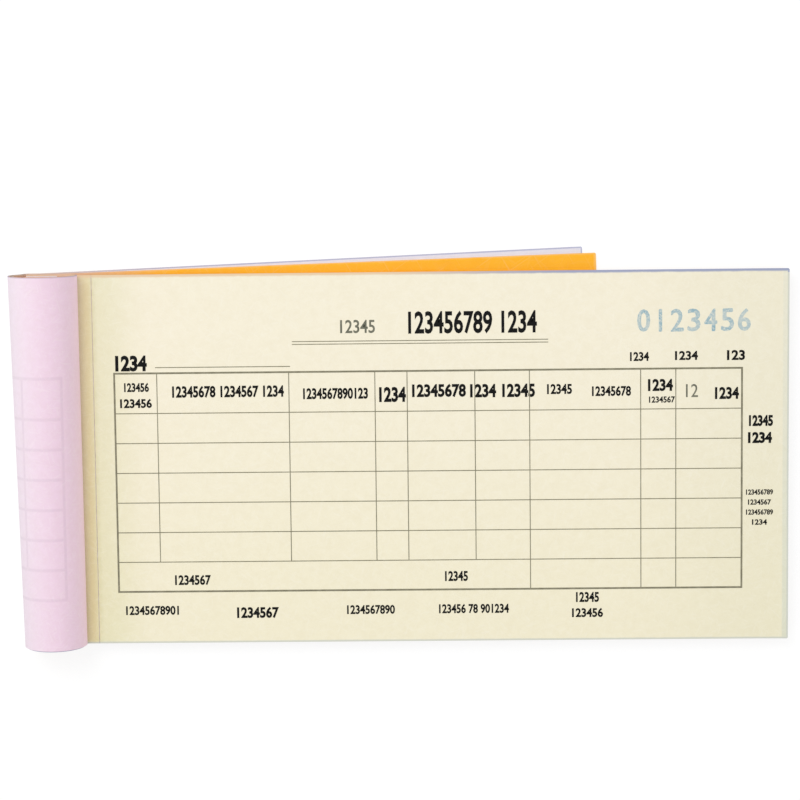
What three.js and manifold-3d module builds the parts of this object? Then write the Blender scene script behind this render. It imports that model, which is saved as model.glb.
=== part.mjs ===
import * as THREE from "three";
import Module from "manifold-3d";

// A triplicate form book in millimetres, lying on a table at z = 0, +Z up.
// X runs from the spine to the fore-edge, Y from the foot to the head.
// The card front leaf, the first white leaf and the first pink leaf are turned
// back round the spine in a roll, and their tails lie flat under the book.

const wasm = await Module();
wasm.setup();

// The book and its sheets.
const bookLength = 175; // spine to fore-edge
const bookWidth = 86; // foot to head
const paper = 0.065; // one copying sheet
const air = 0.005; // between two sheets
const pliesInSet = 3; // white, pink, yellow
const setsBelow = 18; // sets under the leaves that turn, a whole number
const card = 0.3; // cover card
const glue = 0.1; // adhesive along the spine
const cornerRadius = 0.35; // fore-edge corners
const foreEdgeTrim = 0.1; // back panel behind the sheets
const bendRadius = 0.1; // inside the card's spine creases

// Lines across the book, from the spine.
const foldLine = 10.1; // where the turned leaves lift off the stubs
const perforation = 15.3; // tear-off line
const slitPitch = 2.5;
const slitLength = 1.5;
const slitDepth = 0.25; // half the slit, cut in each side
const tearGap = 0.3; // between a stub and its leaf

// The roll, seen from its head end and its foot end: it is a little conical.
const headEnd = { reach: 2.29, overhang: 3.35, sideRise: 2.6, crownRise: 11.45, cardSlack: 0.47 };
const footEnd = { reach: 2.57, overhang: 1.66, sideRise: 1.9, crownRise: 10.25, cardSlack: 0.25 };
const rollSlack = 0.3; // between the pink and the white sheet in the roll
const wrapSlack = 0.1; // between the layers where they pass the spine's lower corner
const wrapClearance = 0.25; // from the card to the spine
const innerBend = 0.8; // the card's bend round the lower corner
const tailSlack = 0.055; // between the flat tails
const hingeLine = 3; // from the spine to the line on which the tails swing
const hingeGap = 0.3;
const underGap = 0.32; // from the tails to the back panel, where the staples are clinched

// Staples of flat wire.
const staplePlace = 22; // from the middle of the spine
const stapleLine = 5.2; // from the spine
const stapleCrown = 12;
const stapleClinch = 4;
const wireThick = 0.25;
const wireWide = 0.7;
const wireBend = 0.35;
const legClearance = 0.25;

// The printed table on the yellow leaf.
const ink = 0.02;
const tableLeft = 20.05; // from the spine
const tableFoot = 12.1; // from the foot of the page
const numberColumn = 9.8;
const itemColumn = 30.4;
const kindColumn = 19.8;
const unitColumn = 7.4;
const countColumn = 15.55;
const priceColumn = 12.55;
const sumColumn = 25.5;
const ledgerColumn = 8.05;
const noteColumn = 15.15;
const headerRow = 9.3;
const entryRow = 6.94;
const entryRows = 5;
const totalRow = 6.94;
const undivided = 6; // columns that run together in the total row
const borderLine = 0.42;
const thinLine = 0.2;

// Heights and places that follow from the sizes.
const spineX = -bookLength / 2;
const foreX = bookLength / 2;
const headY = bookWidth / 2;
const footY = -bookWidth / 2;
const pitch = paper + air;
const wholeSets = Math.round(setsBelow);
const setThick = pliesInSet * paper + (pliesInSet - 1) * air;
const sheetX = spineX + card + glue;
const foldX = spineX + foldLine;
const tearX = spineX + perforation;
const hingeX = spineX + hingeLine;
const pinkTailZ = 0;
const whiteTailZ = pinkTailZ + paper + tailSlack;
const cardTailZ = whiteTailZ + paper + tailSlack;
const backZ = cardTailZ + card + underGap;
const stackZ = backZ + card;
const leavesZ = stackZ + wholeSets * (setThick + air);
const leafNames = ["yellow_02", "pink_02", "white_02", "yellow_01"];
const turnedZ = leavesZ + leafNames.length * pitch; // under the pink stub
const stripZ = turnedZ + 2 * pitch; // under the card's top strip
const crownZ = stripZ + card + air;

const columns = [
  numberColumn,
  itemColumn,
  kindColumn,
  unitColumn,
  countColumn,
  priceColumn,
  sumColumn,
  ledgerColumn,
  noteColumn,
];

const paperColours = { white: 0xf4f4f6, pink: 0xf1d6e3, yellow: 0xf2ecd2 };

function solidOf(geometry) {
  const bare = geometry.index ? geometry.toNonIndexed() : geometry;
  const points = bare.getAttribute("position");
  const seen = new Map();
  const vertices = [];
  const corners = [];
  for (let i = 0; i < points.count; i += 1) {
    const at = [points.getX(i), points.getY(i), points.getZ(i)];
    const key = at.map((v) => Math.round(v * 2e4)).join(" ");
    if (!seen.has(key)) {
      seen.set(key, vertices.length / 3);
      vertices.push(...at);
    }
    corners.push(seen.get(key));
  }
  return new wasm.Manifold(
    new wasm.Mesh({
      numProp: 3,
      vertProperties: new Float32Array(vertices),
      triVerts: new Uint32Array(corners),
    }),
  );
}

function geometryOf(solid) {
  const mesh = solid.getMesh();
  const geometry = new THREE.BufferGeometry();
  const points = new Float32Array(mesh.numVert * 3);
  for (let i = 0; i < mesh.numVert; i += 1) {
    for (let k = 0; k < 3; k += 1) points[3 * i + k] = mesh.vertProperties[mesh.numProp * i + k];
  }
  geometry.setAttribute("position", new THREE.BufferAttribute(points, 3));
  geometry.setIndex(Array.from(mesh.triVerts));
  geometry.computeVertexNormals();
  return geometry;
}

function smooth(t) {
  return t * t * (3 - 2 * t);
}

// A closed strip of even thickness: its middle line is given at both ends of the
// strip, and straight lines join the two, so the strip may widen from end to end.
function ruledStrip(first, second, thick) {
  const points = [];
  const faces = [];
  const side = (line, sign) =>
    line.map((s) => s.at.clone().addScaledVector(s.across, (sign * thick) / 2));
  for (const line of [first, second]) {
    for (const sign of [1, -1]) {
      for (const p of side(line, sign)) points.push(p.x, p.y, p.z);
    }
  }
  const n = first.length;
  const quad = (a, b, c, d) => faces.push(a, b, c, a, c, d);
  for (let i = 0; i < n - 1; i += 1) {
    const j = i + 1;
    quad(i, j, 2 * n + j, 2 * n + i); // both walls are split along the same
    quad(n + i, 3 * n + i, 3 * n + j, n + j); // diagonal, so a twist can't cross them
    quad(j, i, n + i, n + j);
    quad(2 * n + i, 2 * n + j, 3 * n + j, 3 * n + i);
  }
  quad(0, 2 * n, 3 * n, n);
  quad(2 * n - 1, 4 * n - 1, 3 * n - 1, n - 1);
  const geometry = new THREE.BufferGeometry();
  geometry.setAttribute("position", new THREE.Float32BufferAttribute(points, 3));
  geometry.setIndex(faces);
  if (signedVolume(geometry) < 0) {
    geometry.setIndex(faces.map((_, i) => faces[i - (i % 3) + [0, 2, 1][i % 3]]));
  }
  geometry.computeVertexNormals();
  return geometry;
}

function signedVolume(geometry) {
  const p = geometry.getAttribute("position");
  const index = geometry.index.array;
  const [a, b, c] = [new THREE.Vector3(), new THREE.Vector3(), new THREE.Vector3()];
  let volume = 0;
  for (let i = 0; i < index.length; i += 3) {
    a.fromBufferAttribute(p, index[i]);
    b.fromBufferAttribute(p, index[i + 1]);
    c.fromBufferAttribute(p, index[i + 2]);
    volume += a.dot(b.cross(c)) / 6;
  }
  return volume;
}

// Stations along plane curves: each keeps its place, the direction across the
// line, the leg of the path it belongs to and how far along that leg it lies.
function stationsOf(legs) {
  const stations = [];
  for (const { name, curve, steps } of legs) {
    for (let i = stations.length ? 1 : 0; i <= steps; i += 1) {
      const t = i / steps;
      const tangent = curve.getTangent(t);
      stations.push({
        at: curve.getPoint(t),
        across: new THREE.Vector2(-tangent.y, tangent.x),
        name,
        t,
      });
    }
  }
  return stations;
}

// The outer face of the outermost turned sheet, in the plane of one end.
function turnedLegs(end) {
  const low = wrapPlace();
  const right = foldX + end.reach;
  const left = Math.min(spineX - end.overhang, low.x - 0.05);
  const sideZ = turnedZ + end.sideRise;
  const half = (right - left) / 2;
  const crown = turnedZ + end.crownRise - sideZ;
  const drop = sideZ - low.radius;
  return [
    {
      name: "stub",
      curve: new THREE.LineCurve(
        new THREE.Vector2(sheetX, turnedZ),
        new THREE.Vector2(foldX, turnedZ),
      ),
      steps: 1,
    },
    {
      name: "fold",
      curve: new THREE.EllipseCurve(foldX, sideZ, end.reach, end.sideRise, -Math.PI / 2, 0),
      steps: 8,
    },
    {
      name: "roll",
      curve: new THREE.EllipseCurve(right - half, sideZ, half, crown, 0, Math.PI),
      steps: 26,
    },
    {
      name: "side",
      curve: new THREE.CubicBezierCurve(
        new THREE.Vector2(left, sideZ),
        new THREE.Vector2(left, sideZ - 0.5 * drop),
        new THREE.Vector2(low.x, low.radius + 0.35 * drop),
        new THREE.Vector2(low.x, low.radius),
      ),
      steps: 9,
    },
    {
      name: "wrap",
      curve: new THREE.EllipseCurve(
        low.x + low.radius,
        low.radius,
        low.radius,
        low.radius,
        Math.PI,
        1.5 * Math.PI,
      ),
      steps: 8,
    },
    {
      name: "tail",
      curve: new THREE.LineCurve(
        new THREE.Vector2(low.x + low.radius, pinkTailZ),
        new THREE.Vector2(hingeX - hingeGap / 2, pinkTailZ),
      ),
      steps: 1,
    },
  ];
}

// Where the outermost sheet passes the spine's lower corner.
function wrapPlace() {
  const layers = 2 * (paper + wrapSlack) + card;
  return {
    x: spineX - wrapClearance - layers,
    radius: cardTailZ + card + innerBend,
  };
}

// How deep the middle of a sheet runs inside that outer face, leg by leg.
const pinkDepth = () => ({
  stub: paper / 2,
  roll: paper / 2,
  wrap: paper / 2,
  tail: paper / 2,
});
const whiteDepth = () => ({
  stub: pitch + paper / 2,
  roll: paper * 1.5 + rollSlack,
  wrap: paper * 1.5 + wrapSlack,
  tail: whiteTailZ + paper / 2,
});
const cardDepth = (end) => ({
  stub: 2 * pitch + card / 2,
  roll: 2 * paper + rollSlack + end.cardSlack + card / 2,
  wrap: 2 * (paper + wrapSlack) + card / 2,
  tail: cardTailZ + card / 2,
});

function turnedLine(end, y, depthOf) {
  const depth = depthOf(end);
  const from = { stub: "stub", fold: "stub", roll: "roll", side: "roll", wrap: "wrap", tail: "tail" };
  const to = { stub: "stub", fold: "roll", roll: "roll", side: "wrap", wrap: "tail", tail: "tail" };
  return stationsOf(turnedLegs(end)).map((s) => {
    const d = THREE.MathUtils.lerp(depth[from[s.name]], depth[to[s.name]], smooth(s.t));
    const at = s.at.clone().addScaledVector(s.across, d);
    return {
      at: new THREE.Vector3(at.x, y, at.y),
      across: new THREE.Vector3(s.across.x, 0, s.across.y),
      name: s.name,
    };
  });
}

// The length of a turned sheet between the fold and the hinge line of the tails.
function rolledLength(end, depthOf) {
  const line = turnedLine(end, 0, depthOf).filter((s) => s.name !== "stub");
  let length = 0;
  for (let i = 1; i < line.length; i += 1) length += line[i].at.distanceTo(line[i - 1].at);
  return length;
}

function rolledSheet(depthOf, thick) {
  return ruledStrip(turnedLine(headEnd, headY, depthOf), turnedLine(footEnd, footY, depthOf), thick);
}

// The tail takes what the roll leaves of the leaf. The roll takes more of it at
// the head than at the foot, and that is what skews the tail.
function tailSheet(depthOf, thick, z) {
  const leaf = foreX - foldX;
  const headLength = leaf - hingeGap - rolledLength(headEnd, depthOf);
  const footLength = leaf - hingeGap - rolledLength(footEnd, depthOf);
  const skew = Math.asin((footLength - headLength) / bookWidth);
  const along = new THREE.Vector2(Math.cos(skew), Math.sin(skew));
  const start = hingeX + hingeGap / 2;
  const head = new THREE.Vector2(start, headY);
  const foot = new THREE.Vector2(start, footY);
  const headFar = head.clone().addScaledVector(along, headLength);
  const footFar = foot.clone().addScaledVector(along, footLength);
  const shape = new THREE.Shape();
  shape.moveTo(head.x, head.y);
  shape.lineTo(foot.x, foot.y);
  roundedCorner(shape, foot, footFar, headFar);
  roundedCorner(shape, footFar, headFar, head);
  shape.closePath();
  return sheetSolid(shape, thick, z);
}

function roundedCorner(shape, before, corner, after) {
  const back = before.clone().sub(corner).setLength(cornerRadius).add(corner);
  const on = after.clone().sub(corner).setLength(cornerRadius).add(corner);
  shape.lineTo(back.x, back.y);
  shape.quadraticCurveTo(corner.x, corner.y, on.x, on.y);
}

function sheetSolid(shape, thick, z) {
  const geometry = new THREE.ExtrudeGeometry(shape, {
    depth: thick,
    steps: 1,
    bevelEnabled: false,
    curveSegments: 3,
  });
  return geometry.translate(0, 0, z);
}

// A page from x0 to x1, with rounded corners at a fore-edge and the half slits
// of the perforation along the sides that are torn.
function pageShape(x0, x1, tornLeft, tornRight) {
  const shape = new THREE.Shape();
  const slits = slitPlaces();
  shape.moveTo(x0, footY);
  if (tornRight) {
    shape.lineTo(x1, footY);
    for (const y of slits) {
      shape.lineTo(x1, y - slitLength / 2);
      shape.lineTo(x1 - slitDepth, y - slitLength / 2);
      shape.lineTo(x1 - slitDepth, y + slitLength / 2);
      shape.lineTo(x1, y + slitLength / 2);
    }
    shape.lineTo(x1, headY);
  } else {
    const corners = [footY, headY].map((y) => new THREE.Vector2(x1, y));
    roundedCorner(shape, new THREE.Vector2(x0, footY), corners[0], corners[1]);
    roundedCorner(shape, corners[0], corners[1], new THREE.Vector2(x0, headY));
  }
  shape.lineTo(x0, headY);
  if (tornLeft) {
    for (const y of slits.slice().reverse()) {
      shape.lineTo(x0, y + slitLength / 2);
      shape.lineTo(x0 + slitDepth, y + slitLength / 2);
      shape.lineTo(x0 + slitDepth, y - slitLength / 2);
      shape.lineTo(x0, y - slitLength / 2);
    }
  }
  shape.closePath();
  return shape;
}

function slitPlaces() {
  const count = Math.floor(bookWidth / slitPitch);
  return Array.from({ length: count }, (_, i) => (i - (count - 1) / 2) * slitPitch);
}

// The places of the four staple legs, as boxes through the whole pad.
function legBoxes() {
  const low = backZ - 0.5 * underGap;
  const high = crownZ + 0.5;
  const boxes = [];
  for (const middle of [staplePlace, -staplePlace]) {
    for (const side of [1, -1]) {
      const box = new THREE.BoxGeometry(
        wireWide + 2 * legClearance,
        wireThick + 2 * legClearance,
        high - low,
      );
      const y = middle + (side * (stapleCrown - wireThick)) / 2;
      boxes.push(box.translate(spineX + stapleLine, y, (high + low) / 2));
    }
  }
  return boxes;
}

function punched(geometry) {
  let solid = solidOf(geometry);
  for (const box of legBoxes()) solid = solid.subtract(solidOf(box));
  return geometryOf(solid);
}

function piece(name, geometry, colour, roughness, metalness = 0) {
  const material = new THREE.MeshStandardMaterial({ color: colour, roughness, metalness });
  const mesh = new THREE.Mesh(geometry, material);
  mesh.name = name;
  return mesh;
}

function paperPiece(name, geometry) {
  const kind = Object.keys(paperColours).find((k) => name.startsWith(k));
  return piece(name, geometry, paperColours[kind], 0.85);
}

// One card from the back panel's fore-edge, round the spine and over the binding
// margin, then on into the turned front leaf.
function coverLine(end, y) {
  const r = bendRadius + card / 2;
  const spineMid = spineX + card / 2;
  const backMid = backZ + card / 2;
  const stripMid = stripZ + card / 2;
  const legs = [
    {
      name: "back",
      curve: new THREE.LineCurve(
        new THREE.Vector2(foreX - foreEdgeTrim, backMid),
        new THREE.Vector2(spineMid + r, backMid),
      ),
      steps: 1,
    },
    {
      name: "heel",
      curve: new THREE.EllipseCurve(spineMid + r, backMid + r, r, r, -Math.PI / 2, -Math.PI, true),
      steps: 4,
    },
    {
      name: "spine",
      curve: new THREE.LineCurve(
        new THREE.Vector2(spineMid, backMid + r),
        new THREE.Vector2(spineMid, stripMid - r),
      ),
      steps: 1,
    },
    {
      name: "shoulder",
      curve: new THREE.EllipseCurve(spineMid + r, stripMid - r, r, r, Math.PI, Math.PI / 2, true),
      steps: 4,
    },
  ];
  const round = stationsOf(legs).map((s) => ({
    at: new THREE.Vector3(s.at.x, y, s.at.y),
    across: new THREE.Vector3(s.across.x, 0, s.across.y),
  }));
  return round.concat(turnedLine(end, y, cardDepth).slice(1));
}

function makeCover(root) {
  const wrap = ruledStrip(coverLine(headEnd, headY), coverLine(footEnd, footY), card);
  root.add(piece("cover_wrap", punched(wrap), 0xf7ac3a, 0.6));
  root.add(piece("cover_tail", tailSheet(cardDepth, card, cardTailZ), 0xf7ac3a, 0.6));
}

function makeTurnedSheets(root) {
  root.add(paperPiece("white_01_roll", punched(rolledSheet(whiteDepth, paper))));
  root.add(paperPiece("white_01_tail", tailSheet(whiteDepth, paper, whiteTailZ)));
  root.add(paperPiece("pink_01_roll", punched(rolledSheet(pinkDepth, paper))));
  root.add(paperPiece("pink_01_tail", tailSheet(pinkDepth, paper, pinkTailZ)));
}

function makeLeaves(root) {
  leafNames.forEach((name, i) => {
    const z = leavesZ + i * pitch;
    const stub = pageShape(sheetX, tearX - tearGap / 2, false, true);
    const leaf = pageShape(tearX + tearGap / 2, foreX, true, false);
    root.add(paperPiece(`${name}_stub`, punched(sheetSolid(stub, paper, z))));
    root.add(paperPiece(`${name}_leaf`, sheetSolid(leaf, paper, z)));
  });
}

function makeWholeSets(root) {
  for (let i = 0; i < wholeSets; i += 1) {
    const z = stackZ + i * (setThick + air);
    const number = String(wholeSets + 2 - i).padStart(2, "0");
    const shape = pageShape(sheetX, foreX, false, false);
    const mesh = piece(`set_${number}`, punched(sheetSolid(shape, setThick, z)), 0xeae6df, 0.85);
    root.add(mesh);
  }
}

function makeGlue(root) {
  const low = stackZ + bendRadius + air;
  const high = stripZ - bendRadius - air;
  const strip = new THREE.BoxGeometry(glue, bookWidth, high - low);
  strip.translate(spineX + card + glue / 2, 0, (high + low) / 2);
  root.add(piece("spine_glue", strip, 0xe9e2c8, 0.5));
}

// A staple: crown on the strip, legs through the pad, ends clinched under it.
function makeStaple(root, name, middle) {
  const half = (stapleCrown - wireThick) / 2;
  const top = crownZ + wireThick / 2;
  const bottom = backZ - air - wireThick / 2;
  const r = wireBend;
  const corner = (y, z, from, to) => new THREE.EllipseCurve(y, z, r, r, from, to, true);
  const line = (a, b, c, d) =>
    new THREE.LineCurve(new THREE.Vector2(a, b), new THREE.Vector2(c, d));
  const q = Math.PI / 2;
  const legs = [
    { curve: line(-half + stapleClinch, bottom, -half + r, bottom), steps: 1 },
    { curve: corner(-half + r, bottom + r, -q, -2 * q), steps: 4 },
    { curve: line(-half, bottom + r, -half, top - r), steps: 1 },
    { curve: corner(-half + r, top - r, 2 * q, q), steps: 4 },
    { curve: line(-half + r, top, half - r, top), steps: 1 },
    { curve: corner(half - r, top - r, q, 0), steps: 4 },
    { curve: line(half, top - r, half, bottom + r), steps: 1 },
    { curve: corner(half - r, bottom + r, 0, -q), steps: 4 },
    { curve: line(half - r, bottom, half - stapleClinch, bottom), steps: 1 },
  ];
  const side = (x) =>
    stationsOf(legs).map((s) => ({
      at: new THREE.Vector3(x, middle + s.at.x, s.at.y),
      across: new THREE.Vector3(0, s.across.x, s.across.y),
    }));
  const x = spineX + stapleLine;
  const wire = ruledStrip(side(x - wireWide / 2), side(x + wireWide / 2), wireThick);
  root.add(piece(name, wire, 0xb9bcc0, 0.35, 0.9));
}

// The printed table: one grid of ink, its cells cut open.
function makeTable(root) {
  const left = spineX + tableLeft;
  const width = columns.reduce((sum, w) => sum + w, 0);
  const rows = [totalRow, ...Array(Math.round(entryRows)).fill(entryRow), headerRow];
  const height = rows.reduce((sum, h) => sum + h, 0);
  const foot = footY + tableFoot;
  const outer = borderLine / 2;
  const low = turnedZ; // a hair above the yellow leaf
  const [right, head] = [left + width + outer, foot + height + outer];
  const plate = blockBetween(left - outer, foot - outer, right, head, low, ink);
  const edges = columns.reduce((xs, w) => [...xs, xs[xs.length - 1] + w], [left]);
  const cells = [];
  let y = foot;
  rows.forEach((h, row) => {
    const open = edges.filter((_, i) => {
      const border = i === 0 || i === edges.length - 1;
      return border || row > 0 || i >= undivided;
    });
    const y0 = y + (row === 0 ? outer : thinLine / 2);
    const y1 = y + h - (row === rows.length - 1 ? outer : thinLine / 2);
    for (let i = 0; i < open.length - 1; i += 1) {
      const x0 = open[i] + (i === 0 ? outer : thinLine / 2);
      const x1 = open[i + 1] - (i === open.length - 2 ? outer : thinLine / 2);
      cells.push(solidOf(blockBetween(x0, y0, x1, y1, low - ink, 3 * ink)));
    }
    y += h;
  });
  const grid = cells.reduce((solid, cell) => solid.subtract(cell), solidOf(plate));
  root.add(piece("printed_table", geometryOf(grid), 0x3a3a3c, 0.7));
}

function blockBetween(x0, y0, x1, y1, z, thick) {
  const block = new THREE.BoxGeometry(x1 - x0, y1 - y0, thick);
  return block.translate((x0 + x1) / 2, (y0 + y1) / 2, z + thick / 2);
}

const book = new THREE.Group();
book.name = "form_book";
makeCover(book);
makeTurnedSheets(book);
makeLeaves(book);
makeWholeSets(book);
makeGlue(book);
makeStaple(book, "staple_head", staplePlace);
makeStaple(book, "staple_foot", -staplePlace);
makeTable(book);

export default book;
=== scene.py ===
# A triplicate form book that lies open. The card front leaf, the first white leaf and
# the first pink leaf are turned back round the spine in a roll, their tails under the book.
import bisect
import math
import random
from itertools import accumulate

import bmesh
import bpy
from mathutils import Euler, Matrix, Vector, noise as mathsNoise


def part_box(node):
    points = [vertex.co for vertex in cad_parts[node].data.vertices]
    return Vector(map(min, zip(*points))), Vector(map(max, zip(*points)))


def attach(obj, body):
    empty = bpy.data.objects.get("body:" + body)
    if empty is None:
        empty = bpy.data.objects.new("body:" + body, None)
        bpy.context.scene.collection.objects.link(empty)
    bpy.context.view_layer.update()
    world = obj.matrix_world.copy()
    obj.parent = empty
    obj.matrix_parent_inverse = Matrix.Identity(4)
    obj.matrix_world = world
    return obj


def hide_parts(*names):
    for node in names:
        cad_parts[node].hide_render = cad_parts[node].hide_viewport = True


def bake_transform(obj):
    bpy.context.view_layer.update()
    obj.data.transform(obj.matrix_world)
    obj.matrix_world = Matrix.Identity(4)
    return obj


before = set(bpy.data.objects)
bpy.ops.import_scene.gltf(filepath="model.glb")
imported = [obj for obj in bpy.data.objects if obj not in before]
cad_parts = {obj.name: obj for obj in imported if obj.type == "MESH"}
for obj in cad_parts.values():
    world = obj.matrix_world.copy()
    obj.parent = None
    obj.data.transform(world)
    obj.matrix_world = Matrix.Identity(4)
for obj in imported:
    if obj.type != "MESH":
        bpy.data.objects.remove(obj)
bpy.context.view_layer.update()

mm = 0.001  # everything below is worked out in millimetres

# sizes the loose sheets share, the same as in the CAD part
book = {
    "length": 175,
    "width": 86,
    "paper": 0.065,
    "air": 0.005,
    "card": 0.3,
    "cornerRadius": 0.35,
    "foldLine": 10.1,
    "perforation": 15.3,
}
spineX = -book["length"] / 2
foreX = book["length"] / 2
headY = book["width"] / 2
footY = -headY
foldX = spineX + book["foldLine"]
tearX = spineX + book["perforation"]


def nodeBox(name):
    low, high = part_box(name)
    return low / mm, high / mm


# node helpers


def rgb(colour):
    parts = []
    for part in colour:
        part = part / 255
        parts.append(part / 12.92 if part <= 0.04045 else ((part + 0.055) / 1.055) ** 2.4)
    return (*parts, 1)


def addNode(tree, kind, inputs=None, **settings):
    node = tree.nodes.new(kind)
    for key, value in settings.items():
        setattr(node, key, value)
    for key, value in (inputs or {}).items():
        if isinstance(value, bpy.types.NodeSocket):
            tree.links.new(value, node.inputs[key])
        else:
            node.inputs[key].default_value = value
    return node


def maths(tree, operation, first, *others, clamp=False):
    # of more than two values, each next one is worked into the result so far
    for other in others or (None,):
        values = {0: first} if other is None else {0: first, 1: other}
        first = addNode(tree, "ShaderNodeMath", values, operation=operation, use_clamp=clamp).outputs[0]
    return first


def times(tree, *values):
    return maths(tree, "MULTIPLY", *values)


def plus(tree, *values):
    return maths(tree, "ADD", *values)


def minus(tree, value, less):
    return maths(tree, "SUBTRACT", value, less)


def ramp(tree, value, low, high, start=0, stop=1):
    inputs = {"Value": value, "From Min": low, "From Max": high, "To Min": start, "To Max": stop}
    node = addNode(tree, "ShaderNodeMapRange", inputs, interpolation_type="SMOOTHSTEP")
    return node.outputs["Result"]


def mixColour(tree, factor, a, b, blend="MIX"):
    # a colour given as three parts of 255 is turned into light first
    a, b = (rgb(given) if isinstance(given, tuple) and len(given) == 3 else given for given in (a, b))
    node = addNode(tree, "ShaderNodeMix", {0: factor, 6: a, 7: b}, data_type="RGBA", blend_type=blend)
    return node.outputs[2]


def noise(tree, vector, scale, detail=2, rough=0.5, distortion=0):
    inputs = {"Vector": vector, "Scale": scale, "Detail": detail, "Roughness": rough}
    inputs["Distortion"] = distortion
    return addNode(tree, "ShaderNodeTexNoise", inputs).outputs[0]


def stretched(tree, vector, scale, turn=0):
    # turned first and stretched then, so that strands can lie in any direction
    inputs = {"Vector": vector, "Rotation": (0, 0, math.radians(turn)), "Scale": [1 / k for k in scale]}
    return addNode(tree, "ShaderNodeMapping", inputs, vector_type="TEXTURE").outputs[0]


def partsOf(tree, vector):
    return addNode(tree, "ShaderNodeSeparateXYZ", {0: vector}).outputs


def newGroup(name, inputs, outputs):
    tree = bpy.data.node_groups.new(name, "ShaderNodeTree")
    for label, value in inputs.items():
        kind = "NodeSocketVector" if value is None else "NodeSocketFloat"
        socket = tree.interface.new_socket(name=label, in_out="INPUT", socket_type=kind)
        if value is not None:
            socket.default_value = value
    for label in outputs:
        tree.interface.new_socket(name=label, in_out="OUTPUT", socket_type="NodeSocketFloat")
    given = tree.nodes.new("NodeGroupInput")
    result = tree.nodes.new("NodeGroupOutput")
    return tree, given.outputs, lambda label, value: tree.links.new(value, result.inputs[label])


def useGroup(tree, group, inputs):
    return addNode(tree, "ShaderNodeGroup", inputs, node_tree=group).outputs


# effects that several materials share; Place is (along, across, front) in millimetres


def makeFibreGroup():
    # clouds in the sheet, single fibres, and the height of its surface
    tree, given, put = newGroup(
        "paperFibre", {"Place": None, "Cloud Size": 4, "Fibre Width": 0.12}, ["Cloud", "Fibre", "Height"]
    )
    place = given["Place"]
    cloudScale = maths(tree, "DIVIDE", 1, given["Cloud Size"])
    cloud = noise(tree, place, cloudScale, 4, 0.62, 0.3)
    fineScale = maths(tree, "DIVIDE", 0.22, given["Fibre Width"])
    strands = []
    for turn in (12, 74, 139):
        lying = stretched(tree, place, (0.16, 1, 1), turn)
        strand = noise(tree, lying, fineScale, 2, 0.5, 0.9)
        strands.append(ramp(tree, strand, 0.56, 0.7))
    fibre = maths(tree, "MAXIMUM", *strands)
    grain = noise(tree, place, maths(tree, "DIVIDE", 0.5, given["Fibre Width"]), 3, 0.7)
    height = plus(tree, times(tree, fibre, 0.45), times(tree, grain, 0.55))
    put("Cloud", cloud)
    put("Fibre", fibre)
    put("Height", height)
    return tree


def makeEdgeGroup():
    # Rim is the cut edge of the sheet, Border a band along its three free sides
    tree, given, put = newGroup(
        "sheetEdge",
        {"Place": None, "Reach": 0.8, "Head Reach": 0.8, "Head Trim": 0, "Break Up": 0.5},
        ["Rim", "Border"],
    )
    parts = partsOf(tree, given["Place"])
    side = maths(tree, "ABSOLUTE", minus(tree, times(tree, parts["Z"], 2), 1))
    wobble = noise(tree, given["Place"], 0.55, 3, 0.6)
    uneven = times(tree, given["Break Up"], minus(tree, wobble, 0.5))
    toFore = minus(tree, foreX, parts["X"])
    toFoot = minus(tree, parts["Y"], footY)
    trimmedHead = minus(tree, headY, given["Head Trim"])
    toHead = minus(tree, trimmedHead, parts["Y"])
    nearest = maths(tree, "DIVIDE", maths(tree, "MINIMUM", toFore, toFoot), given["Reach"])
    nearest = maths(tree, "MINIMUM", nearest, maths(tree, "DIVIDE", toHead, given["Head Reach"]))
    nearest = maths(tree, "DIVIDE", nearest, plus(tree, 1, uneven))
    put("Rim", ramp(tree, side, 0.99, 0.9))
    put("Border", ramp(tree, nearest, 1, 0.45))
    return tree


# broad tones over a sheet, most of them painted shade, each fading between two places: those at
# the binding past the perforation, the strip in from the fore-edge, the foot's up the page
toneBands = {
    "drift": 2.2, "margin": (0.7, -1), "gutter": (1.2, -1.2), "lit": (-4.8, -1.2),
    "strip": (1.6, 1.2), "footFrom": 30, "tearPast": 0.25, "tear": (1, 0.3),
}


def makeToneGroup():
    tree, given, put = newGroup(
        "sheetTone", {"Place": None, "Margin Reach": 13, "Fore Reach": 42},
        ["Margin", "Gutter", "Fore", "Strip", "Foot", "Tear"],
    )
    parts = partsOf(tree, given["Place"])
    look = toneBands
    drift = times(tree, minus(tree, noise(tree, given["Place"], 0.07, 2), 0.5), look["drift"])
    along = plus(tree, parts["X"], drift)
    past = minus(tree, parts["X"], tearX)
    lit = ramp(tree, past, *look["lit"], 0.25, 1)  # the painted shade is paler again under the roll, where the roll's own shadow falls
    bound = minus(tree, along, tearX + look["margin"][0])
    # Margin and Gutter are painted shade of the roll beside the binding, Gutter the warmer and nearer
    put("Margin", times(tree, ramp(tree, bound, given["Margin Reach"], look["margin"][1]), lit))
    put("Gutter", times(tree, ramp(tree, past, *look["gutter"]), lit))
    # Fore and Foot are painted shade where the light falls off towards the fore-edge and the foot; Strip is a
    # band along the fore-edge, stronger towards the foot
    put("Fore", ramp(tree, minus(tree, foreX, along), given["Fore Reach"], 0))
    strip = ramp(tree, minus(tree, foreX, parts["X"]), *look["strip"])
    put("Strip", times(tree, strip, ramp(tree, parts["Y"], headY, footY, 0.45, 1)))
    put("Foot", ramp(tree, plus(tree, parts["Y"], drift), look["footFrom"], footY))
    # Tear is a broken band beside the perforation, painted shade there on the yellow sheets
    dashes = noise(tree, stretched(tree, given["Place"], (0.1, 0.7, 1)), 1, 2)
    beside = maths(tree, "ABSOLUTE", minus(tree, past, look["tearPast"]))
    broken = ramp(tree, dashes, 0.3, 0.65, 0.2, 1)
    put("Tear", times(tree, ramp(tree, beside, *look["tear"]), broken))
    return tree


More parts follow.
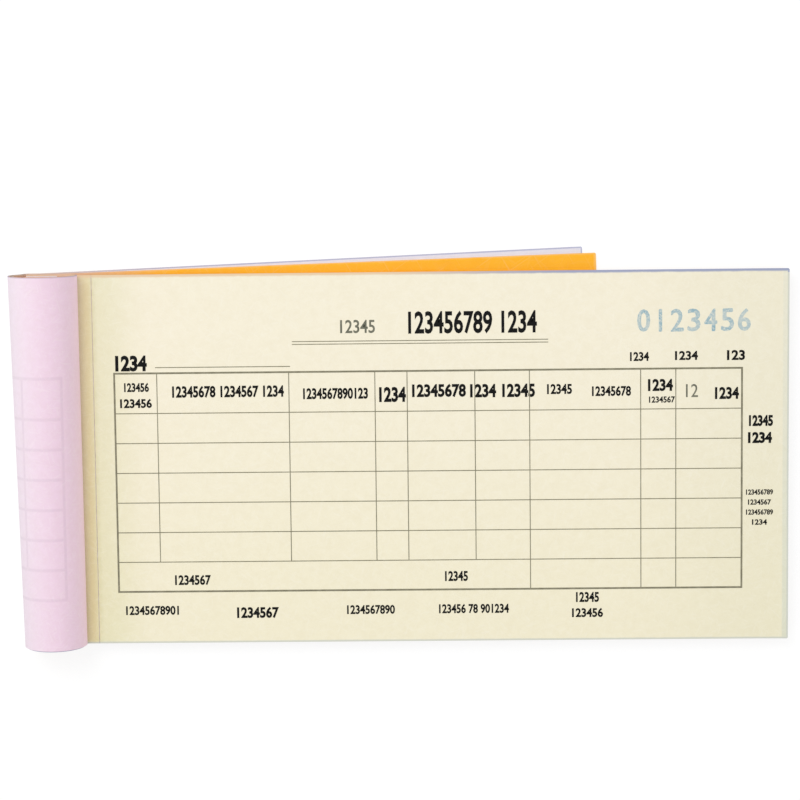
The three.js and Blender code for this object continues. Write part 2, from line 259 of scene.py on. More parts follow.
# the printed table, for the sheets that carry it without the CAD node
formTable = {
    "left": -67.45,
    "foot": -30.9,
    "columns": [9.8, 30.4, 19.8, 7.4, 15.55, 12.55, 25.5, 8.05, 15.15],
    "rows": [6.94, 6.94, 6.94, 6.94, 6.94, 6.94, 9.3],
    "undivided": 6,  # so many columns have no lines in the lowest row
}


def makeFormLinesGroup():
    tree, given, put = newGroup(
        "formLines", {"Place": None, "Line": 0.2, "Softness": 0.05, "Shift": 0}, ["Mask"]
    )
    parts = partsOf(tree, given["Place"])
    along = minus(tree, parts["X"], given["Shift"])
    across = parts["Y"]
    half = times(tree, given["Line"], 0.5)
    faded = plus(tree, half, given["Softness"])

    def near(value, place):
        return ramp(tree, maths(tree, "ABSOLUTE", minus(tree, value, place)), faded, half)

    def inside(value, low, high):
        above = maths(tree, "GREATER_THAN", value, low - 0.2)
        return times(tree, above, maths(tree, "LESS_THAN", value, high + 0.2))

    xs = list(accumulate(formTable["columns"], initial=formTable["left"]))
    ys = list(accumulate(formTable["rows"], initial=formTable["foot"]))
    last = formTable["undivided"]
    # lines down the whole table, lines that stop above its lowest row, and level lines
    whole = maths(tree, "MAXIMUM", *[near(along, x) for i, x in enumerate(xs) if i == 0 or i >= last])
    short = maths(tree, "MAXIMUM", *[near(along, x) for x in xs[1:last]])
    level = maths(tree, "MAXIMUM", *[near(across, y) for y in ys])
    whole = times(tree, whole, inside(across, ys[0], ys[-1]))
    short = times(tree, short, inside(across, ys[1], ys[-1]))
    level = times(tree, level, inside(along, xs[0], xs[-1]))
    put("Mask", maths(tree, "MAXIMUM", whole, short, level))
    return tree


def makeInkGroup():
    # Cover is where the ink took on the paper, Tone its density
    tree, given, put = newGroup(
        "printedInk", {"Place": None, "Grain": 0.25, "Wear": 0.2}, ["Cover", "Tone"]
    )
    scale = maths(tree, "DIVIDE", 1, given["Grain"])
    speck = noise(tree, given["Place"], scale, 3, 0.65)
    cloud = noise(tree, given["Place"], times(tree, scale, 0.12), 2, 0.5)
    both = plus(tree, times(tree, speck, 0.75), times(tree, cloud, 0.25))
    edge = plus(tree, 0.24, times(tree, given["Wear"], 0.36))
    put("Cover", ramp(tree, both, minus(tree, edge, 0.07), plus(tree, edge, 0.07)))
    put("Tone", cloud)
    return tree


def makeScuffGroup():
    # rubbed spots and fine scratches from handling
    tree, given, put = newGroup(
        "handling", {"Place": None, "Spot Size": 6, "Amount": 0.3}, ["Scuff", "Scratch"]
    )
    spots = noise(tree, given["Place"], maths(tree, "DIVIDE", 1, given["Spot Size"]), 6, 0.7, 0.6)
    low = minus(tree, 0.78, times(tree, given["Amount"], 0.3))
    put("Scuff", ramp(tree, spots, low, plus(tree, low, 0.16)))
    lines = []
    for turn, length in ((33, 0.03), (118, 0.04)):
        lying = stretched(tree, given["Place"], (length, 2.2, 1), turn)
        lines.append(ramp(tree, noise(tree, lying, 1.4, 1, 0.4, 0.2), 0.66, 0.72))
    put("Scratch", maths(tree, "MAXIMUM", *lines))
    return tree


paperFibre = makeFibreGroup()
sheetEdge = makeEdgeGroup()
sheetTone = makeToneGroup()
formLines = makeFormLinesGroup()
printedInk = makeInkGroup()
handling = makeScuffGroup()
print("node groups made")


def newMaterial(name):
    material = bpy.data.materials.new(name)
    material.use_nodes = True
    tree = material.node_tree
    tree.nodes.clear()
    shader = addNode(tree, "ShaderNodeBsdfPrincipled")
    addNode(tree, "ShaderNodeOutputMaterial", {"Surface": shader.outputs[0]})
    return material, tree, shader


def sheetPlace(tree):
    return addNode(tree, "ShaderNodeAttribute", attribute_name="place").outputs["Vector"]


def objectPlace(tree):
    coordinates = addNode(tree, "ShaderNodeTexCoord").outputs["Object"]
    return stretched(tree, coordinates, (1 / mm, 1 / mm, 1 / mm))


def finishSurface(tree, shader, tint, rough, height, strength, relief, gloss=0.5):
    # relief is how high the bumps stand, in millimetres
    tree.links.new(tint, shader.inputs["Base Color"])
    tree.links.new(rough, shader.inputs["Roughness"])
    shader.inputs["Specular IOR Level"].default_value = gloss
    inputs = {"Height": height, "Strength": strength, "Distance": relief * mm}
    tree.links.new(addNode(tree, "ShaderNodeBump", inputs).outputs[0], shader.inputs["Normal"])


# materials

# tones are laid over the sheet's colour by multiplying; on the yellow sheets they are painted shade:
# the roll's shade beside the binding and the perforation, and light falling off towards the fore-edge
# and the foot, with a bluish strip along the fore-edge; on the white sheets that painted shade is much
# fainter, with a yellowish tint beside the perforation
toneMasks = ("Margin", "Gutter", "Fore", "Strip", "Foot", "Tear")
yellowPaintedShade = [
    (243, 246, 234), (249, 240, 223), (249, 250, 248), (240, 247, 255), (253, 253, 247), (249, 251, 248),
]
plainTones = [
    (252, 251, 250), (254, 253, 250), (252, 252, 251), (253, 254, 255), (254, 254, 252), (255, 248, 230),
]
# border and headBorder colour a band along the free sides of a sheet: on the open page painted shade, its
# dark blue headBorder standing for the shaded head side of the pad; on the other sheets partly their cut
# edges' blue-grey and partly painted shade
papers = {
    "yellowPage": {
        "front": (243, 236, 214), "back": (241, 234, 206), "ink": (120, 116, 96),
        "rim": (150, 158, 184), "rimDeep": (150, 158, 184),
        "border": (203, 206, 196), "headBorder": (136, 147, 186),
        "borderReach": 0.55, "headReach": 0.8, "headTrim": 0.2,
        "bounceTo": 40, "tones": yellowPaintedShade,
        "frontLines": 0, "backLines": 0, "shift": 0,
    },
    "yellowPaper": {
        "front": (243, 237, 211), "back": (240, 233, 204), "ink": (96, 94, 80),
        "rim": (233, 225, 199), "rimDeep": (192, 184, 162),
        "border": (196, 200, 206), "headBorder": (196, 200, 206),
        "borderReach": 0.4, "headReach": 0.3, "headTrim": 0.42,
        "bounceTo": 40, "tones": yellowPaintedShade,
        "frontLines": 0.85, "backLines": 0.06, "shift": 0,
    },
    "whitePaper": {
        "front": (229, 227, 239), "back": (236, 235, 242), "ink": (70, 72, 84),
        "rim": (231, 230, 234), "rimDeep": (188, 186, 192),
        "border": (172, 176, 206), "headBorder": (172, 176, 206),
        "borderReach": 0.4, "headReach": 0.4, "headTrim": 0,
        "bounceTo": -5, "tones": plainTones,
        "frontLines": 0.9, "backLines": 0.07, "shift": 0,
    },
    "pinkPaper": {
        "front": (242, 216, 230), "back": (238, 210, 228), "ink": (150, 126, 150),
        "rim": (233, 210, 221), "rimDeep": (192, 168, 180),
        "border": (206, 188, 204), "headBorder": (206, 188, 204),
        "borderReach": 0.3, "headReach": 0.3, "headTrim": 0,
        "bounceTo": -100, "tones": [(255, 255, 255)] * len(toneMasks),
        "frontLines": 0.8, "backLines": 0.13, "shift": 1.8,
    },
}
orangeBounce = {"tint": (228, 199, 162), "run": 50}  # painted orange bounce light: the edges near the binding, beside the orange tail, take the card's colour
# widths of bands along a sheet's edges, how strongly its rim shows where it is torn, and what
# is added where it is cut
cutEdge = {"headBand": 1.1, "sideBand": 0.6, "tornBand": 0.3, "torn": 0.2, "cut": 0.7}
pulp = {"Cloud Size": 1.7, "Fibre Width": 0.1}  # finer than in the card
pulpTints = {"deep": (244, 241, 234), "fibre": (252, 250, 244)}
# painted light on the turned pink leaf in the roll: paler beside the fold, where the roll faces
# away from the lamp, and paler over its side towards the lamp; millimetres along the sheet where
# each is full and where it is gone, and the colour there
pinkRollLight = [(-73.6, -66.5, (255, 225, 242)), (-51, -65, (244, 230, 241))]


def makePaper(name):
    look = papers[name]
    material, tree, shader = newMaterial(name)
    place = sheetPlace(tree)
    parts = partsOf(tree, place)
    front = maths(tree, "GREATER_THAN", parts["Z"], 0.5)
    fibre = useGroup(tree, paperFibre, {"Place": place, **pulp})
    reach = {"Place": place, "Reach": look["borderReach"], "Head Reach": look["headReach"]}
    edge = useGroup(tree, sheetEdge, {**reach, "Head Trim": look["headTrim"], "Break Up": 0.5})

    back = look["back"]
    # painted light on the back of the turned pink leaf, the side that faces out in the roll
    if name == "pinkPaper":
        for full, none, colour in pinkRollLight:
            back = mixColour(tree, ramp(tree, parts["X"], none, full), back, colour)
    tint = mixColour(tree, front, back, look["front"])
    # painted shade, in the tones above
    tones = useGroup(tree, sheetTone, {"Place": place})
    for mask, colour in zip(toneMasks, look["tones"]):
        tint = mixColour(tree, tones[mask], tint, colour, "MULTIPLY")
    deep = mixColour(tree, 1, tint, pulpTints["deep"], "MULTIPLY")
    clouds = ramp(tree, fibre["Cloud"], 0.3, 0.75, 0, 0.3)
    tint = mixColour(tree, clouds, tint, deep)
    strands = times(tree, fibre["Fibre"], 0.12)
    tint = mixColour(tree, strands, tint, pulpTints["fibre"])

    # sharp on the printed side, a soft shadow of it on the back
    ink = useGroup(tree, printedInk, {"Place": place, "Grain": 0.2, "Wear": 0.25})
    sharp = useGroup(tree, formLines, {"Place": place, "Line": 0.2, "Softness": 0.06, "Shift": look["shift"]})
    sharp = times(tree, sharp["Mask"], ink["Cover"], look["frontLines"])
    soft = useGroup(tree, formLines, {"Place": place, "Line": 0.25, "Softness": 0.45, "Shift": look["shift"]})
    through = ramp(tree, fibre["Cloud"], 0.25, 0.7, 1.25, 0.55)
    soft = times(tree, soft["Mask"], through, look["backLines"])
    either = addNode(tree, "ShaderNodeMix", {0: front, 2: soft, 3: sharp}).outputs[0]
    tint = mixColour(tree, either, tint, look["ink"])

    # painted orange bounce light on the edges of the head half near the binding
    bounced = ramp(tree, parts["X"], look["bounceTo"], look["bounceTo"] - orangeBounce["run"])
    bounced = times(tree, bounced, maths(tree, "GREATER_THAN", parts["Y"], 0))
    # the band along the free sides, partly painted shade: darkest at the open page's head, for the shaded
    # head side of the pad
    atHead = maths(tree, "GREATER_THAN", parts["Y"], headY - cutEdge["headBand"])
    border = mixColour(tree, atHead, look["border"], look["headBorder"])
    border = mixColour(tree, bounced, border, orangeBounce["tint"])
    tint = mixColour(tree, times(tree, edge["Border"], 0.85), tint, border)
    # the cut edges take the rim colour, weaker where torn; on the open page it is a dark blue-grey, partly
    # the cut edge's own colour and partly painted shade
    fromTear = maths(tree, "ABSOLUTE", minus(tree, parts["X"], tearX))
    fromTear = maths(tree, "GREATER_THAN", fromTear, cutEdge["tornBand"])
    atSide = maths(tree, "ABSOLUTE", parts["Y"])
    atSide = maths(tree, "GREATER_THAN", atSide, headY - cutEdge["sideBand"])
    cut = times(tree, maths(tree, "MAXIMUM", fromTear, atSide), cutEdge["cut"])
    rim = times(tree, edge["Rim"], plus(tree, cutEdge["torn"], cut))
    # the cut edges of a pad show fine darker lines of painted shade, where sheets stand a hair back
    layers = noise(tree, stretched(tree, objectPlace(tree), (0.03, 0.03, 6)), 1, 3, 0.7)
    rimTint = mixColour(tree, ramp(tree, layers, 0.4, 0.62), look["rim"], look["rimDeep"])
    # painted orange bounce light on the cut edges too
    rimTint = mixColour(tree, bounced, rimTint, orangeBounce["tint"])
    tint = mixColour(tree, rim, tint, rimTint)
    rough = ramp(tree, fibre["Height"], 0.2, 0.8, 0.78, 0.92)
    finishSurface(tree, shader, tint, rough, fibre["Height"], strength=0.35, relief=0.012, gloss=0.28)
    return material


orangeCard = {
    "tint": (255, 184, 20), "deep": (252, 174, 14), "rim": (250, 196, 112), "worn": (255, 214, 146),
    "borderReach": 0.7, "spotSize": 9, "amount": 0.25,
    "dulledAndShaded": (210, 182, 176),  # painted shade at the head end of the card inside the roll
}


def makeCard():
    look = orangeCard
    material, tree, shader = newMaterial("orangeCard")
    place = sheetPlace(tree)
    fibre = useGroup(tree, paperFibre, {"Place": place, "Cloud Size": 5, "Fibre Width": 0.16})
    reach = {"Place": place, "Reach": look["borderReach"], "Head Reach": look["borderReach"]}
    edge = useGroup(tree, sheetEdge, {**reach, "Break Up": 1.3})
    marks = {"Place": place, "Spot Size": look["spotSize"], "Amount": look["amount"]}
    hands = useGroup(tree, handling, marks)
    clouds = ramp(tree, fibre["Cloud"], 0.3, 0.75, 0, 0.45)
    tint = mixColour(tree, clouds, look["tint"], look["deep"])
    wear = ((fibre["Fibre"], 0.07), (hands["Scuff"], 0.14), (hands["Scratch"], 0.18), (edge["Border"], 0.35))
    for mask, amount in wear:
        tint = mixColour(tree, times(tree, mask, amount), tint, look["worn"])
    tint = mixColour(tree, times(tree, edge["Rim"], 0.7), tint, look["rim"])
    parts = partsOf(tree, place)
    # painted shade at the head end, where the card lies inside the roll
    atHead = ramp(tree, parts["Y"], headY - 1.8, headY - 0.9, 0, 0.75)
    dulledAndShaded = times(tree, atHead, ramp(tree, parts["X"], -8, -40))
    tint = mixColour(tree, dulledAndShaded, tint, look["dulledAndShaded"])
    rough = ramp(tree, fibre["Height"], 0.2, 0.8, 0.46, 0.62)
    rough = maths(tree, "ADD", rough, times(tree, hands["Scuff"], 0.18), clamp=True)
    height = minus(tree, fibre["Height"], times(tree, hands["Scratch"], 0.5))
    finishSurface(tree, shader, tint, rough, height, strength=0.4, relief=0.02, gloss=0.4)
    return material


inks = {
    "tableInk": {"ink": (122, 118, 98), "bare": (206, 201, 176), "grain": 0.22, "wear": 0.22, "fade": 0.18},
    "numberInk": {"ink": (4, 4, 5), "bare": (30, 29, 27), "grain": 0.18, "wear": 0, "fade": 0.18},
    "greyInk": {"ink": (98, 99, 86), "bare": (190, 187, 166), "grain": 0.2, "wear": 0.3, "fade": 0.18},
    "serialInk": {"ink": (136, 172, 186), "bare": (219, 221, 209), "grain": 0.42, "wear": 0.62, "fade": 0.6},
}


def makeInk(name):
    look = inks[name]
    material, tree, shader = newMaterial(name)
    place = objectPlace(tree)
    ink = useGroup(tree, printedInk, {"Place": place, "Grain": look["grain"], "Wear": look["wear"]})
    fibre = useGroup(tree, paperFibre, {"Place": place, **pulp})
    bare = times(tree, minus(tree, 1, ink["Cover"]), 0.7)
    tone = ramp(tree, ink["Tone"], 0.3, 0.7, 0, look["fade"])
    tint = mixColour(tree, tone, look["ink"], look["bare"])
    tint = mixColour(tree, bare, tint, look["bare"])
    rough = ramp(tree, fibre["Height"], 0.2, 0.8, 0.5, 0.75)
    finishSurface(tree, shader, tint, rough, fibre["Height"], strength=0.3, relief=0.01, gloss=0.12)
    return material


# galvanised flat wire: drawn along its length, dulled in patches
wire = {"dark": (186, 188, 192), "bright": (214, 216, 219), "dulledAndShaded": (158, 158, 158)}


def makeWire():
    material, tree, shader = newMaterial("stapleWire")
    place = objectPlace(tree)
    drawn = noise(tree, stretched(tree, place, (9, 0.25, 0.9)), 3, 3, 0.6)
    hands = useGroup(tree, handling, {"Place": place, "Spot Size": 1.6, "Amount": 0.8})
    tint = mixColour(tree, drawn, wire["dark"], wire["bright"])
    tint = mixColour(tree, times(tree, hands["Scuff"], 0.5), tint, wire["dulledAndShaded"])
    rough = ramp(tree, drawn, 0.3, 0.7, 0.24, 0.4)
    rough = plus(tree, rough, times(tree, hands["Scuff"], 0.2))
    shader.inputs["Metallic"].default_value = 1
    finishSurface(tree, shader, tint, rough, drawn, strength=0.35, relief=0.01)
    return material


# brushed-on padding glue, dried with a slight skin
glue = {"thin": (233, 226, 200), "thick": (214, 203, 168), "lump": (244, 240, 224)}


def makeGlue():
    material, tree, shader = newMaterial("bindingGlue")
    place = objectPlace(tree)
    strokes = noise(tree, stretched(tree, place, (1, 0.15, 2)), 1.6, 4, 0.6, 0.4)
    lumps = noise(tree, place, 1.1, 3, 0.5)
    tint = mixColour(tree, ramp(tree, strokes, 0.35, 0.7), glue["thin"], glue["thick"])
    tint = mixColour(tree, ramp(tree, lumps, 0.6, 0.75, 0, 0.4), tint, glue["lump"])
    rough = ramp(tree, strokes, 0.3, 0.7, 0.32, 0.55)
    height = plus(tree, times(tree, strokes, 0.6), times(tree, lumps, 0.4))
    finishSurface(tree, shader, tint, rough, height, strength=0.6, relief=0.05)
    return material


materials = {name: makePaper(name) for name in papers}
materials.update({name: makeInk(name) for name in inks})
materials["orangeCard"] = makeCard()
materials["stapleWire"] = makeWire()
materials["bindingGlue"] = makeGlue()
print("materials made")


# sheets

crispAngle = 40  # degrees; flatter folds than this are shaded smooth


def addObject(name, data):
    made = bpy.data.objects.new(name, data)
    bpy.context.scene.collection.objects.link(made)
    return made


def makeObject(name, bm, surfaces, smoothAngle=None):
    bmesh.ops.scale(bm, vec=(mm, mm, mm), verts=bm.verts[:])
    mesh = bpy.data.meshes.new(name)
    bm.to_mesh(mesh)
    bm.free()
    for surface in surfaces:
        mesh.materials.append(materials[surface])
    if smoothAngle:
        mesh.shade_smooth()
        mesh.set_sharp_from_angle(angle=math.radians(smoothAngle))
    return addObject(name, mesh)


def sheetGrid(xs, ys):
    bm = bmesh.new()
    bm.verts.layers.float_vector.new("place")
    columns, rows = len(xs) - 1, len(ys) - 1
    bmesh.ops.create_grid(bm, x_segments=columns, y_segments=rows, size=0.5)
    for vert in bm.verts:
        i = round((vert.co.x + 0.5) * columns)
        j = round((vert.co.y + 0.5) * rows)
        vert.co = (xs[i], ys[j], 0)
    return bm


def spread(start, stop, step):
    count = max(1, round(abs(stop - start) / step))
    return [start + (stop - start) * i / count for i in range(count + 1)]


def roundCorners(bm, x):
    corners = [v for v in bm.verts if abs(v.co.x - x) < 1e-4 and len(v.link_edges) == 2]
    bmesh.ops.bevel(
        bm, geom=corners, offset=book["cornerRadius"], offset_type="OFFSET", segments=4, profile=0.5,
        affect="VERTICES", material=-1,
    )


def raiseBy(bm, height):
    bmesh.ops.translate(bm, vec=(0, 0, height), verts=bm.verts[:])


def thicken(bm, thick):
    # the grid is the printed face; the back and the cut edges come under it
    layer = bm.verts.layers.float_vector["place"]
    made = bmesh.ops.solidify(bm, geom=bm.faces[:], thickness=thick)
    back = {part for part in made["geom"] if isinstance(part, bmesh.types.BMVert)}
    for vert in back:
        vert[layer].z = 0


def setPlace(bm):
    layer = bm.verts.layers.float_vector["place"]
    for vert in bm.verts:
        vert[layer] = (vert.co.x, vert.co.y, 1)


# the perforation: pitch and length of its slits, how far they are cut into either edge, and how
# far the leaf's edge lies past the line
tearLine = {"pitch": 2.5, "slit": 1.5, "notch": 0.018, "gap": 0.003}


def slitRows():
    # the heights at which a slit starts or stops; every odd cell between them is a slit
    count = int(book["width"] // tearLine["pitch"])
    rows = [footY]
    for i in range(count):
        middle = (i - (count - 1) / 2) * tearLine["pitch"]
        rows += [middle - tearLine["slit"] / 2, middle + tearLine["slit"] / 2]
    return rows + [headY]


def cutSlits(bm, x, rows):
    slits = [(a, b) for i, (a, b) in enumerate(zip(rows, rows[1:])) if i % 2]
    lost = []
    for face in bm.faces:
        middle = face.calc_center_median()
        if abs(middle.x - x) < tearLine["notch"] and any(a < middle.y < b for a, b in slits):
            lost.append(face)
    bmesh.ops.delete(bm, geom=lost, context="FACES")


# how the loose sheets of the pad were cut, a little unevenly
padStack = {
    "foreTrim": 0.12, "headTrim": 0.42, "foreDrift": 0.1, "sideDrift": 0.07,
    "order": ["yellowPaper", "pinkPaper", "whitePaper"], "seed": 7,
}
# the open yellow page lifts a hair along its fore-edge, most towards its two corners
topPage = {
    "foreTrim": 0.02, "headTrim": 0.2,
    "liftFrom": 78.5, "lift": 0.3, "flatterBy": 0.45, "flattestAt": 4,
}


def pageLift(x, y):
    along = min(1, max(0, (x - topPage["liftFrom"]) / (foreX - topPage["liftFrom"])))
    turn = 2 * math.pi * (y - topPage["flattestAt"]) / book["width"]
    corner = 1 - topPage["flatterBy"] - topPage["flatterBy"] * math.cos(turn)
    return topPage["lift"] * along * along * corner


# the leaves of the two sets that lie open; each lifts at the perforation and needs a little more
# room beside its stub than the one below, because the hinges of the lower ones carry it along
openLeaves = {
    "yellow_02": {"surface": "yellowPaper", "slot": "yellow_paper", "room": 0.005},
    "pink_02": {"surface": "pinkPaper", "slot": "pink_paper", "room": 0.022},
    "white_02": {"surface": "whitePaper", "slot": "white_paper", "room": 0.057},
    "yellow_01": {"surface": "yellowPage", "slot": "yellow_paper", "room": 0.12},
}
openGrid = {"leaf": 4, "stub": 5}  # about how long a cell of the grid is


def makeOpenSheet(name, end):
    trims = topPage if name == "yellow_01" else padStack
    node = name + "_" + end
    low, high = nodeBox(node)
    rows = slitRows()
    rows[-1] -= trims["headTrim"]
    notch = tearLine["notch"]
    if end == "leaf":
        left, right = tearX + tearLine["gap"], foreX - trims["foreTrim"]
        columns = [left] + spread(left + notch, right, openGrid[end])
        slitX = left + notch / 2
    else:
        right = tearX - openLeaves[name]["room"]
        columns = spread(low.x, right - notch, openGrid[end]) + [right]
        slitX = right - notch / 2
    bm = sheetGrid(columns, rows)
    cutSlits(bm, slitX, rows)
    if end == "leaf":
        roundCorners(bm, right)
    raiseBy(bm, high.z)
    setPlace(bm)
    if node == "yellow_01_leaf":
        for vert in bm.verts:
            vert.co.z += pageLift(vert.co.x, vert.co.y)
    thicken(bm, book["paper"])
    ending, body = {"leaf": ("Page", name), "stub": ("Stub", "book")}[end]
    piece = makeObject(name + ending, bm, [openLeaves[name]["surface"]], crispAngle)
    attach(piece, body)
    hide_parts(node)


for leafName in openLeaves:
    for leafEnd in openGrid:
        makeOpenSheet(leafName, leafEnd)
print("open leaves made")


# the sets below: three loose sheets each, cut a little unevenly


def makeSet(name, dice):
    low = nodeBox(name)[0]
    stack = bmesh.new()
    stack.verts.layers.float_vector.new("place")
    for i in range(len(padStack["order"])):
        right = foreX - padStack["foreTrim"] - dice.random() * padStack["foreDrift"]
        foot = footY + dice.random() * padStack["sideDrift"]
        head = headY - padStack["headTrim"] - dice.random() * padStack["sideDrift"]
        sheet = sheetGrid([low.x, right], [foot, head])
        roundCorners(sheet, right)
        top = low.z + (i + 1) * book["paper"] + i * book["air"]
        raiseBy(sheet, top)
        setPlace(sheet)
        thicken(sheet, book["paper"])
        for face in sheet.faces:
            face.material_index = i
        loose = bpy.data.meshes.new("looseSheet")
        sheet.to_mesh(loose)
        sheet.free()
        stack.from_mesh(loose)
        bpy.data.meshes.remove(loose)
    piece = makeObject(name + "Sheets", stack, padStack["order"])
    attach(piece, "book")
    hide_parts(name)


dice = random.Random(padStack["seed"])
for nodeName in sorted(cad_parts):
    if nodeName.startswith("set_"):
        makeSet(nodeName, dice)
print("pad made")


# brushed-on glue down the spine of the pad, a little thinner here and there

glueStrip = {"headTrim": 0.45, "footTrim": 0.05, "step": 0.35, "thinned": 0.035, "stroke": (1.1, 1.3)}


def makeGlueStrip():
    look = glueStrip
    low, high = nodeBox("spine_glue")
    ups = spread(low.z, high.z, look["step"])
    bm = sheetGrid(ups, spread(footY + look["footTrim"], headY - look["headTrim"], look["step"]))
    thicken(bm, high.x - low.x)
    for vert in bm.verts:
        up, along, deep = vert.co
        stroke = Vector((up * look["stroke"][0], along * look["stroke"][1], 3))
        wave = 0.5 + 0.5 * mathsNoise.noise(stroke)
        thinned = look["thinned"] * wave if deep > -1e-6 else 0
        vert.co = (low.x - deep + thinned, along, up)
    bmesh.ops.recalc_face_normals(bm, faces=bm.faces[:])
    strip = makeObject("paddingGlue", bm, ["bindingGlue"], crispAngle)
    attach(strip, "book")
    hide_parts("spine_glue")


makeGlueStrip()
print("glue made")


# the roll: each turned leaf is one flat sheet, bent along its outline at either end

roll = {
    "headEnd": {"reach": 2.29, "overhang": 3.35, "sideRise": 2.6, "crownRise": 11.45, "cardSlack": 0.47},
    "footEnd": {"reach": 2.57, "overhang": 1.66, "sideRise": 1.9, "crownRise": 10.25, "cardSlack": 0.25},
    "rollSlack": 0.3,
    "wrapSlack": 0.1,
    "wrapClearance": 0.25,
    "innerBend": 0.8,
    "sideClearance": 0.05,
    "sidePull": (0.5, 0.35),  # of its height, from above and from below
    "tailSlack": 0.055,
    "hingeLine": 3,
    "hingeGap": 0.3,
    "steps": {"fold": 14, "roll": 60, "side": 22, "wrap": 14},
}
paper, card = book["paper"], book["card"]
pitch = paper + book["air"]
hingeX = spineX + roll["hingeLine"]
sheetX = nodeBox("yellow_01_stub")[0].x
turnedZ = nodeBox("yellow_01_stub")[1].z + book["air"]
whiteTailZ = paper + roll["tailSlack"]
cardTailZ = whiteTailZ + paper + roll["tailSlack"]


def smooth(t):
    return t * t * (3 - 2 * t)


def straight(start, stop, steps):
    direction = (stop - start).normalized()
    return [(start.lerp(stop, i / steps), direction) for i in range(steps + 1)]


def oval(middle, wide, high, start, stop, steps):
    line = []
    sign = 1 if stop > start else -1
    for i in range(steps + 1):
        angle = math.radians(start + (stop - start) * i / steps)
        point = middle + Vector((wide * math.cos(angle), high * math.sin(angle)))
        tangent = Vector((-wide * math.sin(angle), high * math.cos(angle))) * sign
        line.append((point, tangent.normalized()))
    return line


def swung(start, leave, arrive, stop, steps):
    # a cubic curve that leaves and arrives in the direction of its two middle points
    line = []
    for i in range(steps + 1):
        t = i / steps
        u = 1 - t
        point = start * u**3 + leave * 3 * u * u * t + arrive * 3 * u * t * t + stop * t**3
        tangent = (leave - start) * u * u + (arrive - leave) * 2 * u * t + (stop - arrive) * t * t
        line.append((point, tangent.normalized()))
    return line


def turnedLegs(end):
    # the outer face of the outermost sheet, leg by leg, in the plane of one end
    steps = roll["steps"]
    radius = cardTailZ + card + roll["innerBend"]
    lowX = spineX - roll["wrapClearance"] - 2 * (paper + roll["wrapSlack"]) - card
    right = foldX + end["reach"]
    left = min(spineX - end["overhang"], lowX - roll["sideClearance"])
    sideZ = turnedZ + end["sideRise"]
    half = (right - left) / 2
    crown = turnedZ + end["crownRise"] - sideZ
    drop = sideZ - radius
    above, below = roll["sidePull"]
    return {
        "stub": straight(Vector((sheetX, turnedZ)), Vector((foldX, turnedZ)), 1),
        "fold": oval(Vector((foldX, sideZ)), end["reach"], end["sideRise"], -90, 0, steps["fold"]),
        "roll": oval(Vector((right - half, sideZ)), half, crown, 0, 180, steps["roll"]),
        "side": swung(
            Vector((left, sideZ)), Vector((left, sideZ - above * drop)),
            Vector((lowX, radius + below * drop)), Vector((lowX, radius)), steps["side"],
        ),
        "wrap": oval(Vector((lowX + radius, radius)), radius, radius, 180, 270, steps["wrap"]),
        "tail": straight(Vector((lowX + radius, 0)), Vector((hingeX - roll["hingeGap"] / 2, 0)), 1),
    }


def sheetDepths(end, kind):
    # how deep the middle of a sheet lies inside the outermost face: on the stub, in the roll,
    # beside the spine and in the tail
    return {
        "pink": (paper / 2,) * 4,
        "white": (
            pitch + paper / 2, paper * 1.5 + roll["rollSlack"],
            paper * 1.5 + roll["wrapSlack"], whiteTailZ + paper / 2,
        ),
        "cover": (
            2 * pitch + card / 2, 2 * paper + roll["rollSlack"] + end["cardSlack"] + card / 2,
            2 * (paper + roll["wrapSlack"]) + card / 2, cardTailZ + card / 2,
        ),
    }[kind]


# which of these depths a leg starts and ends with
legDepths = {"stub": (0, 0), "fold": (0, 1), "roll": (1, 1), "side": (1, 2), "wrap": (2, 3), "tail": (3, 3)}


def turnedLine(end, kind):
    depth = sheetDepths(end, kind)
    line = []
    for leg, stations in turnedLegs(end).items():
        first, last = (depth[i] for i in legDepths[leg])
        for i, (point, tangent) in enumerate(stations):
            if i or not line:
                across = Vector((-tangent.y, tangent.x))
                inward = first + (last - first) * smooth(i / (len(stations) - 1))
                line.append((point + across * inward, across))
    return line


def lineLength(line):
    return sum((b[0] - a[0]).length for a, b in zip(line, line[1:]))


def turnedPath(kind):
    head, foot = turnedLine(roll["headEnd"], kind), turnedLine(roll["footEnd"], kind)
    skew = math.asin((lineLength(head) - lineLength(foot)) / book["width"])
    return {"head": head, "foot": foot, "start": sheetX, "skew": skew, "rows": {}}


def pathRow(path, y):
    # the sheet's own line at one place across it, with the distance run at each point
    key = round(y, 4)
    if key not in path["rows"]:
        t = (y - footY) / book["width"]
        points = [a[0].lerp(b[0], t) for a, b in zip(path["foot"], path["head"])]
        across = [a[1].lerp(b[1], t).normalized() for a, b in zip(path["foot"], path["head"])]
        run = list(accumulate(((b - a).length for a, b in zip(points, points[1:])), initial=0))
        path["rows"][key] = (points, across, run)
    return path["rows"][key]


def bend(path, x, y, outward):
    points, across, run = pathRow(path, y)
    at = x - path["start"]
    if at >= run[-1]:
        past = at - run[-1]
        turn = path["skew"]
        place = points[-1] + across[-1] * outward
        return Vector((place.x + past * math.cos(turn), y + past * math.sin(turn), place.y))
    i = min(max(bisect.bisect_right(run, at) - 1, 0), len(run) - 2)
    t = (at - run[i]) / (run[i + 1] - run[i])
    facing = across[i].lerp(across[i + 1], t).normalized()
    place = points[i].lerp(points[i + 1], t) + facing * outward
    return Vector((place.x, y, place.y))


